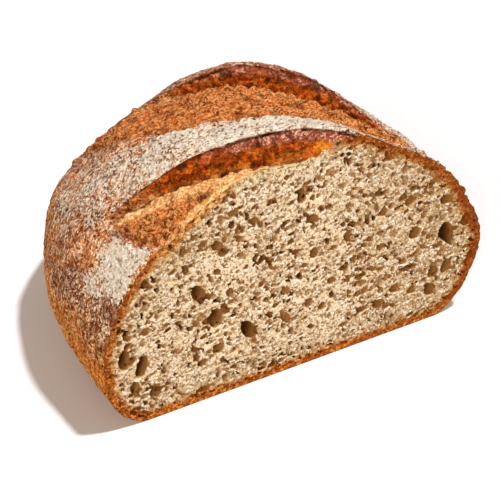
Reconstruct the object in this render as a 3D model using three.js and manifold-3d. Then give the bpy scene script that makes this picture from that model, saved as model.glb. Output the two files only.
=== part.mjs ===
// Half of a rye bread loaf: a domed, flat-bottomed loaf with slanting slashes
// across its top, cut straight through so that the crumb shows.
// Millimetres, +Z up. The loaf stands on z = 0 with its cut face towards -Y.

import * as THREE from 'three';
import { mergeVertices } from 'three/addons/utils/BufferGeometryUtils.js';
import Module from 'manifold-3d';

// ---------------------------------------------------------------- dimensions

const WIDTH = 165;             // across the cut face at the widest level
const ARCH_HEIGHT = 97.5;      // top of the unslashed arch at the cut
const DEPTH = 118.5;           // from the cut face to the rounded end
const BULGE_HEIGHT = 32;       // level at which the flanks are widest
const LEFT_TUCK = 0.22;        // how far the flanks draw in under the bulge
const RIGHT_TUCK = 0.26;
const AXIS_LEAN = -0.09;       // sideways drift of the loaf's axis with depth
const CROWN_RISE = 0.18;       // the loaf is higher behind the cut than at it
const SIDE_RISE = 0.215;       // and drops less on its right than on its left
const LEFT_ARCH = 1.94;        // superellipse exponents of the arch
const RIGHT_ARCH = 1.59;
const LEFT_END = 2.1;          // superellipse exponents of the end, in plan
const RIGHT_END = 2.4;
const TOP_END = 1.9;           // and seen from the side
const UNDERSIDE = 0.6;         // angle that the tuck takes below 0 and above PI
const STOCK = 26;              // dough in front of the cut, taken off by it

const COLUMNS = 96;            // steps round the arch
const STOCK_ROWS = 2;
const END_ROWS = 9;

const SWELL = 0.9;             // soft unevenness of the whole crust
const CRAG = 0.8;              // roughness of the dough opened by a slash

const SHOULDER = 3.8;          // how far the right shoulder bulges by the cut
const SHOULDER_TURN = 0.72;    // radians round from upright to its middle
const SHOULDER_SPAN = 0.48;
const MID_TUCK = -0.03;        // the flanks stand steeper halfway along

// Two slashes opened as the loaf baked. Each has a front lip, then torn dough,
// which swelled and has a crevice at its back, then the rim of an ear of crust
// that lifted. It opens and closes between turns round the arch from upright.
// Its stations: [turn, depth of the rim, depth of the front lip, ear height].
const SLASHES = [
  {
    opens: [-0.91, -0.86], closes: [0.7, 0.9], swell: 2.8, sunk: 3, overhang: 0.8,
    stations: [
      [-1.35, 34, 20, 0], [-0.95, 31.7, 8.5, 0], [-0.87, 29.6, 8, 0], [-0.8, 27.8, 1.8, 0.3],
      [-0.6, 22.6, -8, 2.1], [-0.4, 17.4, -14, 4.8], [-0.1, 9.6, -22, 5.6], [0.25, 0.5, -23, 5.7],
      [0.5, -6, -23, 3], [0.72, -11.7, -23, 0], [1.4, -8, -20, 0],
    ],
  },
  {
    opens: [-0.95, -0.85], closes: [0.66, 0.8], swell: 0.8, sunk: 1.4, overhang: 0.8,
    stations: [
      [-1.35, 82, 66, 0], [-0.9, 95, 88, 0], [-0.75, 97, 84, 0], [-0.6, 96, 61, 0],
      [-0.4, 92, 38.5, 0], [-0.2, 80, 27.8, 0.7], [-0.1, 71, 23.4, 3], [0, 62, 19.6, 5.7],
      [0.1, 53, 16.3, 8], [0.2, 44, 12.7, 8.2], [0.3, 35, 10, 7.4], [0.45, 24.5, 6, 3.6],
      [0.6, 17, 3.5, 1], [0.8, 12, 6, 0], [1.4, 40, 24, 0],
    ],
  },
];
const EAR_REACH = 26;          // how far behind its rim an ear stays lifted
const LAST_CREST = 32;         // length of the crest behind the last rim
const END_CAP = 8;             // least length of the smooth end behind that

// Section of a slash, [place, swell, sunk, ear, overhang]: place -1 is the front
// lip, 0 the rim and 1 the far end of the ear; the rest are parts of its sizes.
const SLASH_SECTION = [
  [-1.00, 0.00, 0.00, 0.00, 0.0],
  [-0.96, 0.00, 0.45, 0.00, 0.0],
  [-0.88, 0.00, 0.45, 0.00, 0.0],
  [-0.76, 0.12, 0.05, 0.00, 0.0],
  [-0.62, 0.75, 0.00, 0.00, 0.0],
  [-0.50, 1.00, 0.00, 0.00, 0.0],
  [-0.40, 0.80, 0.00, 0.00, 0.0],
  [-0.31, 0.25, 0.10, 0.00, 0.0],
  [-0.23, 0.00, 0.50, 0.00, 0.0],
  [-0.16, 0.00, 1.00, 0.00, 0.0],
  [-0.11, 0.00, 0.80, 0.05, 0.0],
  [-0.07, 0.00, 0.30, 0.35, 0.0],
  [-0.03, 0.00, 0.00, 0.70, 0.5],
  [0.00, 0.00, 0.00, 0.92, 1.0],
  [0.06, 0.00, 0.00, 1.00, 0.8],
  [0.16, 0.00, 0.00, 0.93, 0.3],
  [0.40, 0.00, 0.00, 0.70, 0.0],
  [0.72, 0.00, 0.00, 0.45, 0.0],
  [1.00, 0.00, 0.00, 0.30, 0.0],
  [1.80, 0.00, 0.00, 0.00, 0.0],
];
const ROW_PLACES = SLASH_SECTION.map(([place]) => place).filter(place => place < 0.9);

// The largest pores that the cut opened: [x, z, width, height, tilt in degrees].
const PORES = [
  [66, 38, 7, 14, -8], [75, 44, 4.5, 6, 0], [65, 56, 5.5, 4.5, 0], [61, 22, 5.5, 6, 0],
  [60, 14, 5, 6.5, -20], [67, 24, 4.5, 7, 10], [51, 45, 5, 6, 0], [36, 60, 4.5, 4, 0],
  [5, 68, 6, 4, 25], [0, 80, 4, 7.5, 0], [36, 16, 5.5, 4.5, 0], [49, 29, 8, 3, 0],
  [-43, 51, 5.5, 8.5, -20], [-36, 37, 6, 9.5, -5], [-35, 22, 5, 5, 0], [-22, 26, 5.5, 10.5, -30],
  [-74, 32, 5, 9.5, 0], [-67, 26, 5, 11, 15], [-70, 17, 4, 6.5, 0], [-62, 12, 4.5, 5.5, 0],
  [-42, 5.5, 6.5, 3.5, 0], [-35, 70, 5.5, 3.5, 30],
];
const PORE_DEPTH = 0.6;        // of the mean of a pore's width and height
const PORE_SEGMENTS = 9;

// ------------------------------------------------------------------- surface

function ramp(low, high, value) {
  const part = THREE.MathUtils.clamp((value - low) / (high - low), 0, 1);
  return part * part * (3 - 2 * part);
}

// Point of the plain dome: angle 0 is the left flank at the bulge, PI the right
// one, and UNDERSIDE beyond either is where that flank meets the floor.
function domePoint(angle, depth) {
  const along = THREE.MathUtils.clamp(depth / DEPTH, 0, 1);
  const onArch = THREE.MathUtils.clamp(angle, 0, Math.PI);
  const cos = Math.cos(onArch);
  const sin = Math.sin(onArch);
  const isLeft = onArch < Math.PI / 2;
  const archPower = isLeft ? LEFT_ARCH : RIGHT_ARCH;
  const radius = (Math.abs(cos) ** archPower + sin ** archPower) ** (-1 / archPower);
  const across = -cos * radius;
  const up = sin * radius;

  const endPower = isLeft ? LEFT_END : RIGHT_END;
  const narrowing = (1 - along ** endPower) ** (1 / endPower);
  const crown = 1 + CROWN_RISE * 4 * along * (1 - along) + SIDE_RISE * along * across;
  const lowering = (1 - along ** TOP_END) ** (1 / TOP_END) * crown;

  const below = Math.max(-angle, angle - Math.PI, 0) / UNDERSIDE * Math.PI / 2;
  const meanTuck = (LEFT_TUCK + RIGHT_TUCK) / 2;
  const endTuck = THREE.MathUtils.lerp(isLeft ? LEFT_TUCK : RIGHT_TUCK, meanTuck, along ** 2);
  const sideTuck = endTuck + MID_TUCK * Math.sin(Math.PI * along);
  const drawnIn = 1 - sideTuck * (1 - Math.cos(below));

  const y = depth > 0 ? depth * drawnIn : depth;
  return new THREE.Vector3(
    WIDTH / 2 * across * narrowing * drawnIn + AXIS_LEAN * y,
    y,
    BULGE_HEIGHT * (1 - Math.sin(below)) + (ARCH_HEIGHT - BULGE_HEIGHT) * up * lowering,
  );
}

// Direction out of the loaf at a point of the dome.
function outwards(point) {
  const core = new THREE.Vector3(0.7 * AXIS_LEAN * point.y, 0.75 * point.y, Math.min(point.z / 2, 20));
  return point.clone().sub(core).normalize();
}

// Straight-line value of a table's column where its first column is at.
function lookUp(table, column, at) {
  const next = table.findIndex(([place]) => place > at);
  if (next < 1) {
    return (next ? table.at(-1) : table[0])[column];
  }
  const before = table[next - 1];
  const after = table[next];
  const part = (at - before[0]) / (after[0] - before[0]);
  return THREE.MathUtils.lerp(before[column], after[column], part);
}

// Slope of a smooth curve through a table's column, at one of its rows.
function slopeAt(table, column, row) {
  const before = table[Math.max(row - 1, 0)];
  const here = table[row];
  const after = table[Math.min(row + 1, table.length - 1)];
  const rise = (from, to) => (to[column] - from[column]) / (to[0] - from[0]);
  if (before === here || here === after) {
    return rise(before, after);
  }
  const weight = (here[0] - before[0]) / (after[0] - before[0]);
  return THREE.MathUtils.lerp(rise(before, here), rise(here, after), weight);
}

// Smooth curve through one column of a slash's stations.
function stationCurve(slash, column, angle) {
  const table = slash.stations;
  const turn = THREE.MathUtils.clamp(angle - Math.PI / 2, table[0][0], table.at(-1)[0]);
  const found = table.findIndex(([at]) => at > turn);
  const row = found < 0 ? table.length - 2 : found - 1;
  const gap = table[row + 1][0] - table[row][0];
  const p = (turn - table[row][0]) / gap;
  const start = (1 + 2 * p) * table[row][column] + p * gap * slopeAt(table, column, row);
  const end = (3 - 2 * p) * table[row + 1][column] - (1 - p) * gap * slopeAt(table, column, row + 1);
  return (1 - p) ** 2 * start + p ** 2 * end;
}

const rimDepth = (slash, angle) => stationCurve(slash, 1, angle);
const frontLip = (slash, angle) => Math.max(stationCurve(slash, 2, angle), 3 - STOCK);
const earHeight = (slash, angle) => Math.max(stationCurve(slash, 3, angle), 0);

function openness(slash, angle) {
  const turn = angle - Math.PI / 2;
  return ramp(...slash.opens, turn) * (1 - ramp(...slash.closes, turn));
}

// Where the crest behind a rim ends: at the next front lip, or past the last.
function crestEnd(index, angle) {
  const next = SLASHES[index + 1];
  const last = Math.min(rimDepth(SLASHES[index], angle) + LAST_CREST, DEPTH - END_CAP);
  return next ? frontLip(next, angle) : last;
}

// What is left of an ear's lift where its crest ends.
function leftOver(index, angle) {
  const length = crestEnd(index, angle) - rimDepth(SLASHES[index], angle);
  const place = length / Math.min(length, EAR_REACH);
  return earHeight(SLASHES[index], angle) * lookUp(SLASH_SECTION, 3, place);
}

// Slow waves over the whole crust and quick ones for opened dough, both -1 to 1.
function slowWave(p) {
  const a = Math.sin(p.x / 13 + 1.3) * Math.cos(p.y / 11 + p.z / 17);
  const b = Math.sin(p.y / 8 - p.z / 9 + 0.4) * Math.cos(p.x / 19);
  return (a + b) / 2;
}

function quickWave(p) {
  const a = Math.sin(p.x / 1.9 + p.y / 3.1) * Math.cos(p.y / 1.7 - p.x / 4.3);
  const b = Math.sin(p.x / 3.3 - p.z / 2.9 + 2) * Math.cos(p.y / 2.6 + 1);
  return (a + b) / 2;
}

// A row runs round the arch. It gives its depth, its shift out of the dome, its
// shift forwards and how craggy it is, each as a function of the angle.
function plainRow(depth) {
  const none = () => 0;
  return { depth, out: none, forward: none, craggy: none };
}

function slashRow(index, place) {
  const slash = SLASHES[index];
  const length = angle => crestEnd(index, angle) - rimDepth(slash, angle);
  const along = angle => (place > 0 ? place * length(angle) / Math.min(length(angle), EAR_REACH) : place);
  const part = (column, angle) => lookUp(SLASH_SECTION, column, along(angle));
  const kept = angle => (index > 0 ? leftOver(index - 1, angle) * (1 - ramp(-1, -0.5, place)) : 0);
  const dough = angle => slash.swell * part(1, angle) - slash.sunk * part(2, angle);
  return {
    depth: (angle) => {
      const goal = place < 0 ? frontLip(slash, angle) : crestEnd(index, angle);
      return THREE.MathUtils.lerp(rimDepth(slash, angle), goal, Math.abs(place));
    },
    out: (angle) => {
      const ear = earHeight(slash, angle) * part(3, angle);
      return ear + kept(angle) + openness(slash, angle) * dough(angle);
    },
    forward: angle => slash.overhang * part(4, angle) * earHeight(slash, angle) / 6,
    craggy: angle => (place < 0 && place > -1 ? openness(slash, angle) : 0),
  };
}

function loafRows() {
  const rows = [];
  for (let i = 0; i < STOCK_ROWS; i += 1) {
    const part = i / STOCK_ROWS;
    rows.push(plainRow(angle => THREE.MathUtils.lerp(-STOCK, frontLip(SLASHES[0], angle), part)));
  }
  for (const index of SLASHES.keys()) {
    for (const place of ROW_PLACES) {
      rows.push(slashRow(index, place));
    }
  }
  const last = SLASHES.length - 1;
  for (let i = 0; i <= END_ROWS; i += 1) {
    const round = Math.sin(Math.PI / 2 * i / END_ROWS);
    const row = plainRow(angle => THREE.MathUtils.lerp(crestEnd(last, angle), DEPTH, round));
    row.out = angle => leftOver(last, angle) * (1 - i / END_ROWS);
    rows.push(row);
  }
  return rows;
}

// The right shoulder bulges near the cut and a little more just behind it.
function shoulderAt(angle, point) {
  const turn = (angle - Math.PI / 2 - SHOULDER_TURN) / SHOULDER_SPAN;
  const fading = (0.85 + 0.15 * ramp(0, 12, point.y)) * (1 - ramp(18, 70, point.y));
  return SHOULDER * Math.exp(-(turn ** 2)) * fading;
}

function rowPoint(row, angle) {
  const point = domePoint(angle, row.depth(angle));
  const out = outwards(point);
  const forward = new THREE.Vector3(0, -1, 0);
  forward.addScaledVector(out, -forward.dot(out));
  const settled = ramp(0, 12, point.z);
  const closing = ramp(0, 10, DEPTH - point.y);
  const uneven = SWELL * slowWave(point) * closing + CRAG * quickWave(point) * row.craggy(angle);
  return point
    .addScaledVector(out, (row.out(angle) + shoulderAt(angle, point) + uneven) * settled)
    .addScaledVector(forward, row.forward(angle) * settled);
}

// ------------------------------------------------------------------- solids

function gridGeometry(rows) {
  const positions = [];
  for (const row of rows) {
    for (let column = 0; column <= COLUMNS; column += 1) {
      const angle = THREE.MathUtils.lerp(-UNDERSIDE, Math.PI + UNDERSIDE, column / COLUMNS);
      positions.push(...rowPoint(row, angle).toArray());
    }
  }
  const width = COLUMNS + 1;
  const faces = [];
  for (let r = 0; r + 1 < rows.length; r += 1) {
    const near = r * width;
    const far = near + width;
    for (let c = 0; c < COLUMNS; c += 1) {
      faces.push(near + c, near + c + 1, far + c);
      faces.push(near + c + 1, far + c + 1, far + c);
    }
    faces.push(near, far, near + COLUMNS);
    faces.push(near + COLUMNS, far, far + COLUMNS);
  }
  for (let c = 1; c < COLUMNS; c += 1) {
    faces.push(0, c + 1, c);
  }
  const geometry = new THREE.BufferGeometry();
  geometry.setAttribute('position', new THREE.Float32BufferAttribute(positions, 3));
  geometry.setIndex(faces);
  return geometry;
}

const wasm = await Module();
wasm.setup();

function toSolid(geometry) {
  const bare = geometry.clone();
  bare.deleteAttribute('normal');
  bare.deleteAttribute('uv');
  const merged = mergeVertices(bare, 1e-3);
  const triangles = [];
  const index = merged.index.array;
  for (let i = 0; i < index.length; i += 3) {
    const [a, b, c] = index.slice(i, i + 3);
    if (a !== b && b !== c && c !== a) {
      triangles.push(a, b, c);
    }
  }
  return new wasm.Manifold(new wasm.Mesh({
    numProp: 3,
    vertProperties: new Float32Array(merged.attributes.position.array),
    triVerts: new Uint32Array(triangles),
  }));
}

function toGeometry(solid) {
  const mesh = solid.getMesh();
  const geometry = new THREE.BufferGeometry();
  geometry.setAttribute('position', new THREE.Float32BufferAttribute(mesh.vertProperties, 3));
  geometry.setIndex(Array.from(mesh.triVerts));
  geometry.computeVertexNormals();
  return geometry;
}

function cutter() {
  const side = 3 * WIDTH;
  const box = new THREE.BoxGeometry(side, STOCK * 2, side);
  box.translate(0, -STOCK, 0);
  return toSolid(box);
}

function pore([x, z, width, height, tilt]) {
  const ball = new THREE.SphereGeometry(1, PORE_SEGMENTS, PORE_SEGMENTS - 3);
  ball.scale(width / 2, PORE_DEPTH * (width + height) / 2, height / 2);
  ball.rotateY(THREE.MathUtils.degToRad(tilt));
  ball.translate(x, 0.2, z);
  return toSolid(ball);
}

// ------------------------------------------------------------------- the loaf

let loaf = toSolid(gridGeometry(loafRows())).subtract(cutter());
for (const size of PORES) {
  loaf = loaf.subtract(pore(size));
}

const geometry = toGeometry(loaf);
geometry.computeBoundingBox();
const middle = geometry.boundingBox.getCenter(new THREE.Vector3());
geometry.translate(-middle.x, -middle.y, -geometry.boundingBox.min.z);

const crust = new THREE.MeshStandardMaterial({ color: 0xb07748, roughness: 0.8, metalness: 0 });
const mesh = new THREE.Mesh(geometry, crust);
mesh.name = 'loaf';

const part = new THREE.Group();
part.add(mesh);

export default part;
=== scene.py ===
import math

import bpy
import numpy as np
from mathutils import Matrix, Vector


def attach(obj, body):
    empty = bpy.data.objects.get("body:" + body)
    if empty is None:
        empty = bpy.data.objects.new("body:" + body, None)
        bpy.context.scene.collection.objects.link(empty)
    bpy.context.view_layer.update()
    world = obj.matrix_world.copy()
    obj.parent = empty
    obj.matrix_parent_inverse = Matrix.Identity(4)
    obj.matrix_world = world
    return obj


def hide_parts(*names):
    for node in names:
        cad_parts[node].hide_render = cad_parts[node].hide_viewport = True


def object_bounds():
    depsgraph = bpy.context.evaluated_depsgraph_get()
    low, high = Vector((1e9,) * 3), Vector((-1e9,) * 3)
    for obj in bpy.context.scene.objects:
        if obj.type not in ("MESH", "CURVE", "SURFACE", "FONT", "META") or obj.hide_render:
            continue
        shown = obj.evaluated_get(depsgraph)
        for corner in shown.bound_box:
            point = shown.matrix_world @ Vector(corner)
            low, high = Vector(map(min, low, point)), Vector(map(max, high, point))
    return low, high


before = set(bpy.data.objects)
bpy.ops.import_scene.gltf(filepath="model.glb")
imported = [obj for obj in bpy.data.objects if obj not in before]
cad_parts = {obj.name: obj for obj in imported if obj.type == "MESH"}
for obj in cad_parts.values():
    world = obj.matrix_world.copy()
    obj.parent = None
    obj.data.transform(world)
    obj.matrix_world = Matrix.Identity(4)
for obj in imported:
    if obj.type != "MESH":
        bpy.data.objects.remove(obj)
solid_box = [list(corner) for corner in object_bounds()]
MM = 0.001


# ----------------------------------
# Crust: the baked skin of the loaf, a dome drawn in under its flanks. Two slashes
# opened in the oven, each with a front lip, a floor of torn dough and a rim that
# lifted as an ear. It is made as rows of points round the arch, cut at the front.
# ----------------------------------

# The loaf's sizes in millimetres, as in the solid, with the cut at y = 0.
WIDTH = 165.0                        # across the cut face at the widest level
ARCH_HEIGHT = 97.5                   # top of the unslashed arch at the cut
DEPTH = 118.5                        # from the cut face to the rounded end
BULGE_HEIGHT = 32.0                  # level at which the flanks are widest
LEFT_TUCK, RIGHT_TUCK = 0.22, 0.26   # how far the flanks draw in under it
MID_TUCK = -0.03                     # which is less halfway along
AXIS_LEAN = -0.09                    # sideways drift of the axis with depth
CROWN_RISE, SIDE_RISE = 0.18, 0.215  # rise behind the cut, less on the left
LEFT_ARCH, RIGHT_ARCH = 1.94, 1.59   # superellipse exponents of the arch
LEFT_END, RIGHT_END = 2.1, 2.4       # of the end, in plan
TOP_END = 1.9                        # and of the end, from the side
UNDERSIDE = 0.6                      # angle that the tuck takes below the bulge
STOCK = 26.0                         # dough in front of the cut, taken off by it
FOREMOST_LIP = 3 - STOCK             # no lip is drawn further forward in it
LAST_CREST = 88.0                    # where the crest behind the last rim ends
EAR_REACH = 26.0                     # how far behind its rim an ear stays lifted
EAR_HEIGHT = 6.0                     # of an ear that has its whole overhang
RAGGED = 0.9                         # how far a torn lip wanders
ARC_PER_RADIAN = 60                  # millimetres of arch to a radian, near enough
CORE_HEIGHT = 20                     # the crust lifts away from a core this high
SWELL = 0.9                          # soft unevenness of the whole crust
SHOULDER = 3.9                       # how far the right shoulder bulges by the cut
SHOULDER_TURN, SHOULDER_SPAN = 0.74, 0.56
LEFT_FULLNESS = 1.1                  # how much fuller the left flank is low down
LEFT_HOLLOW = 0.9                    # and how much flatter it is at the back
RIGHT_DRAWN_UNDER = 2.2              # how far the right foot draws in by the cut

# The two slashes. A turn is in radians round from upright, and a place is -1 at
# the front lip, 0 at the rim and 1 at the far end of the ear. A slash opens and
# closes between two turns each. Its ear bakes dark from one turn to another, and
# its dough is pale from one place to another, both up to a share. The foot of the
# ear's wall moves between two turns from one place in front of the rim to
# another. Stations: turn, depth of the rim, depth of the front lip, ear height.
SLASHES = [
    {
        "opens": (-0.91, -0.86), "closes": (0.70, 0.90),
        "bakes": (-0.45, -0.15, 1.0), "pales": (-0.56, -0.40, 1.0), "foot": (-0.65, 0.15, 0.13, 0.26),
        "swell": 2.8, "sunk": 3.0, "overhang": 0.8, "singed": 0.0,
        "stations": [
            (-1.35, 34.0, 20.0, 0.0), (-0.95, 31.7, 8.5, 0.0), (-0.87, 29.6, 8.0, 0.0),
            (-0.80, 27.8, 1.8, 0.3), (-0.60, 22.6, -8.0, 2.1), (-0.40, 17.4, -14.0, 4.8),
            (-0.10, 9.6, -22.0, 5.6), (0.25, 0.5, -23.0, 5.7), (0.50, -6.0, -23.0, 3.0),
            (0.72, -11.7, -23.0, 0.0), (1.40, -8.0, -20.0, 0.0),
        ],
    },
    {
        "opens": (-0.95, -0.85), "closes": (0.66, 0.80),
        "bakes": (-0.20, 0.20, 0.6), "pales": (-0.42, -0.30, 0.4), "foot": (-0.60, 0.20, 0.10, 0.15),
        "swell": 0.8, "sunk": 1.4, "overhang": 0.8, "singed": 0.9,
        "stations": [
            (-1.35, 82.0, 66.0, 0.0), (-0.90, 95.0, 88.0, 0.0), (-0.75, 97.0, 84.0, 0.0),
            (-0.60, 96.0, 61.0, 0.0), (-0.40, 92.0, 38.5, 0.0), (-0.20, 80.0, 27.8, 0.3),
            (-0.10, 71.0, 23.4, 2.2), (0.00, 62.0, 19.6, 5.0), (0.10, 53.0, 16.3, 8.0),
            (0.20, 44.0, 12.7, 8.2), (0.30, 35.0, 10.0, 7.4), (0.45, 24.5, 6.0, 3.6),
            (0.60, 17.0, 3.5, 1.0), (0.80, 12.0, 6.0, 0.0), (1.40, 40.0, 24.0, 0.0),
        ],
    },
]
RIM, LIP, EAR = 1, 2, 3              # columns of the stations

# A slash from front to back: place, swollen dough, sunk crevice, ear, overhang.
SLASH_SECTION = np.array([
    (-1.00, 0.00, 0.00, 0.00, 0.00), (-0.96, 0.00, 0.45, 0.00, 0.00), (-0.88, 0.00, 0.45, 0.00, 0.00),
    (-0.76, 0.12, 0.05, 0.00, 0.00), (-0.62, 0.75, 0.00, 0.00, 0.00), (-0.50, 1.00, 0.00, 0.00, 0.00),
    (-0.40, 0.80, 0.00, 0.00, 0.00), (-0.31, 0.25, 0.10, 0.00, 0.00), (-0.23, 0.00, 0.50, 0.00, 0.00),
    (-0.16, 0.00, 1.00, 0.00, 0.00), (-0.11, 0.00, 0.80, 0.05, 0.00), (-0.07, 0.00, 0.30, 0.35, 0.00),
    (-0.03, 0.00, 0.00, 0.70, 0.50), (0.00, 0.00, 0.00, 0.92, 1.00), (0.06, 0.00, 0.00, 1.00, 0.80),
    (0.16, 0.00, 0.00, 0.93, 0.30), (0.40, 0.00, 0.00, 0.70, 0.00), (0.72, 0.00, 0.00, 0.45, 0.00),
    (1.00, 0.00, 0.00, 0.30, 0.00), (1.80, 0.00, 0.00, 0.00, 0.00), (9.00, 0.00, 0.00, 0.00, 0.00),
])
FOOT_PLACE = 0.16                    # in front of the rim: the foot of the wall there

# Places over which a part of a slash begins and, for some, over which it ends.
TORN_PLACES = (-1.0, -0.97)
FLOOR_END_PLACES = (-0.26, -0.18)
WALL_PLACES = (-0.20, -0.12)
STRETCHED_PLACES = (-0.17, -0.15, -0.14, -0.085)    # a pale strip up the wall
DARK_TOP_PLACES = (-0.075, -0.035)
RIM_PLACES = (-0.03, 0.0, 0.02, 0.16)
WALL_HEIGHTS = (0.4, 2.5)            # ear heights over which it has a wall
SINGED_REACH = 8                     # behind a rim that is singed, in millimetres

# How finely the crust is gridded: columns round the arch and across the floor,
# and rows from the stock in front of the cut to the end.
FINE = 1.0
ARCH_STEPS = int(600 * FINE)
FLOOR_STEPS = int(90 * FINE)
STOCK_ROWS = int(84 * FINE)
DOUGH_ROWS = int(49 * FINE)          # over the floor, and as many over the wall
CREST_ROWS = int(66 * FINE)
END_ROWS = int(44 * FINE)
ROWS_BEFORE_RIM = 3                  # where an ear's own piece starts
WALL_ROWS_FROM = -0.3
SLASH_PLACES = np.concatenate([
    np.linspace(-1, WALL_ROWS_FROM, DOUGH_ROWS, endpoint=False),
    np.linspace(WALL_ROWS_FROM, 0, DOUGH_ROWS, endpoint=False),
    np.linspace(0, 1, CREST_ROWS, endpoint=False) ** 1.25,
])
angles = np.linspace(-UNDERSIDE, math.pi + UNDERSIDE, ARCH_STEPS + 1)
turns = angles - math.pi / 2


def ramp(low, high, value):
    """A smooth step from 0 at low to 1 at high."""
    part = np.clip((value - low) / (high - low), 0, 1)
    return part * part * (3 - 2 * part)


def within(value, opens_from, opens_to, closes_from, closes_to):
    """1 between two smooth steps."""
    return ramp(opens_from, opens_to, value) * (1 - ramp(closes_from, closes_to, value))


def mound(value, middle, span):
    return np.exp(-((value - middle) / span) ** 2)


def cell_noise(points, cell, seed):
    """Smooth noise from -1 to 1 with one random value per cell of that size."""
    count = 32
    table = np.random.default_rng(seed).uniform(-1, 1, (count, count, count))
    scaled = points / cell
    base = np.floor(scaled).astype(int)
    part = scaled - base
    part = part * part * (3 - 2 * part)
    total = np.zeros(points.shape[:-1])
    for corner in np.ndindex(2, 2, 2):
        weight = np.prod(np.where(corner, part, 1 - part), axis=-1)
        i, j, k = np.moveaxis((base + corner) % count, -1, 0)
        total += weight * table[i, j, k]
    return total


def dome(angle, depth):
    """Points of the plain dome, as in the solid."""
    along = np.clip(depth / DEPTH, 0, 1)
    on_arch = np.clip(angle, 0, math.pi)
    left = on_arch < math.pi / 2
    cos, sin = np.cos(on_arch), np.sin(on_arch)
    power = np.where(left, LEFT_ARCH, RIGHT_ARCH)
    radius = (np.abs(cos) ** power + sin ** power) ** (-1 / power)
    across, up = -cos * radius, sin * radius
    end = np.where(left, LEFT_END, RIGHT_END)
    narrowing = (1 - along ** end) ** (1 / end)
    crown = 1 + CROWN_RISE * 4 * along * (1 - along) + SIDE_RISE * along * across
    lowering = (1 - along ** TOP_END) ** (1 / TOP_END) * crown
    below = np.maximum(np.maximum(-angle, angle - math.pi), 0) / UNDERSIDE * math.pi / 2
    side = np.where(left, LEFT_TUCK, RIGHT_TUCK)
    tuck = side + ((LEFT_TUCK + RIGHT_TUCK) / 2 - side) * along ** 2 + MID_TUCK * np.sin(math.pi * along)
    drawn_in = 1 - tuck * (1 - np.cos(below))
    y = np.where(depth > 0, depth * drawn_in, depth)
    x = WIDTH / 2 * across * narrowing * drawn_in + AXIS_LEAN * y
    z = BULGE_HEIGHT * (1 - np.sin(below)) + (ARCH_HEIGHT - BULGE_HEIGHT) * up * lowering
    return np.stack([x, y, z], axis=-1)


def unit(vectors):
    return vectors / np.maximum(np.linalg.norm(vectors, axis=-1, keepdims=True), 1e-9)


def station_curve(slash, column):
    """A smooth curve through one column of a slash's stations, at every turn."""
    table = np.array(slash["stations"])
    at, values = table[:, 0], table[:, column]
    slopes = np.gradient(values, at)
    turn = np.clip(turns, at[0], at[-1])
    i = np.clip(np.searchsorted(at, turn, side="right") - 1, 0, len(at) - 2)
    gap = at[i + 1] - at[i]
    p = (turn - at[i]) / gap
    start = (1 + 2 * p) * (1 - p) ** 2 * values[i] + p * (1 - p) ** 2 * gap * slopes[i]
    end = p * p * (3 - 2 * p) * values[i + 1] - p * p * (1 - p) * gap * slopes[i + 1]
    return start + end


def ragged_line(seed):
    """A torn lip's wander along itself, in millimetres."""
    along = np.stack([angles * ARC_PER_RADIAN, np.zeros_like(angles), np.zeros_like(angles)], axis=-1)
    return RAGGED * (cell_noise(along, 5.0, seed) + 0.6 * cell_noise(along, 1.9, seed + 1))


def slow_wave(points):
    x, y, z = np.moveaxis(points, -1, 0)
    a = np.sin(x / 13 + 1.3) * np.cos(y / 11 + z / 17)
    b = np.sin(y / 8 - z / 9 + 0.4) * np.cos(x / 19)
    return (a + b) / 2


# Rows of the grid: depth, lift out of the dome and shift forwards, and what the
# crust is there: torn dough, an ear's wall, its dark top, painted shade in the
# crevice at its foot and under the rim, pale stretched dough, and the rim.
rows = []
row_limits = [0]


def add_row(depth, out=0.0, forward=0.0, dough=0.0, wall=0.0, baked=0.0, crevice=0.0, pale=0.0, rim=0.0):
    values = (depth, out, forward, dough, wall, baked, crevice, pale, rim)
    rows.append([np.broadcast_to(value, angles.shape) for value in values])


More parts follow.
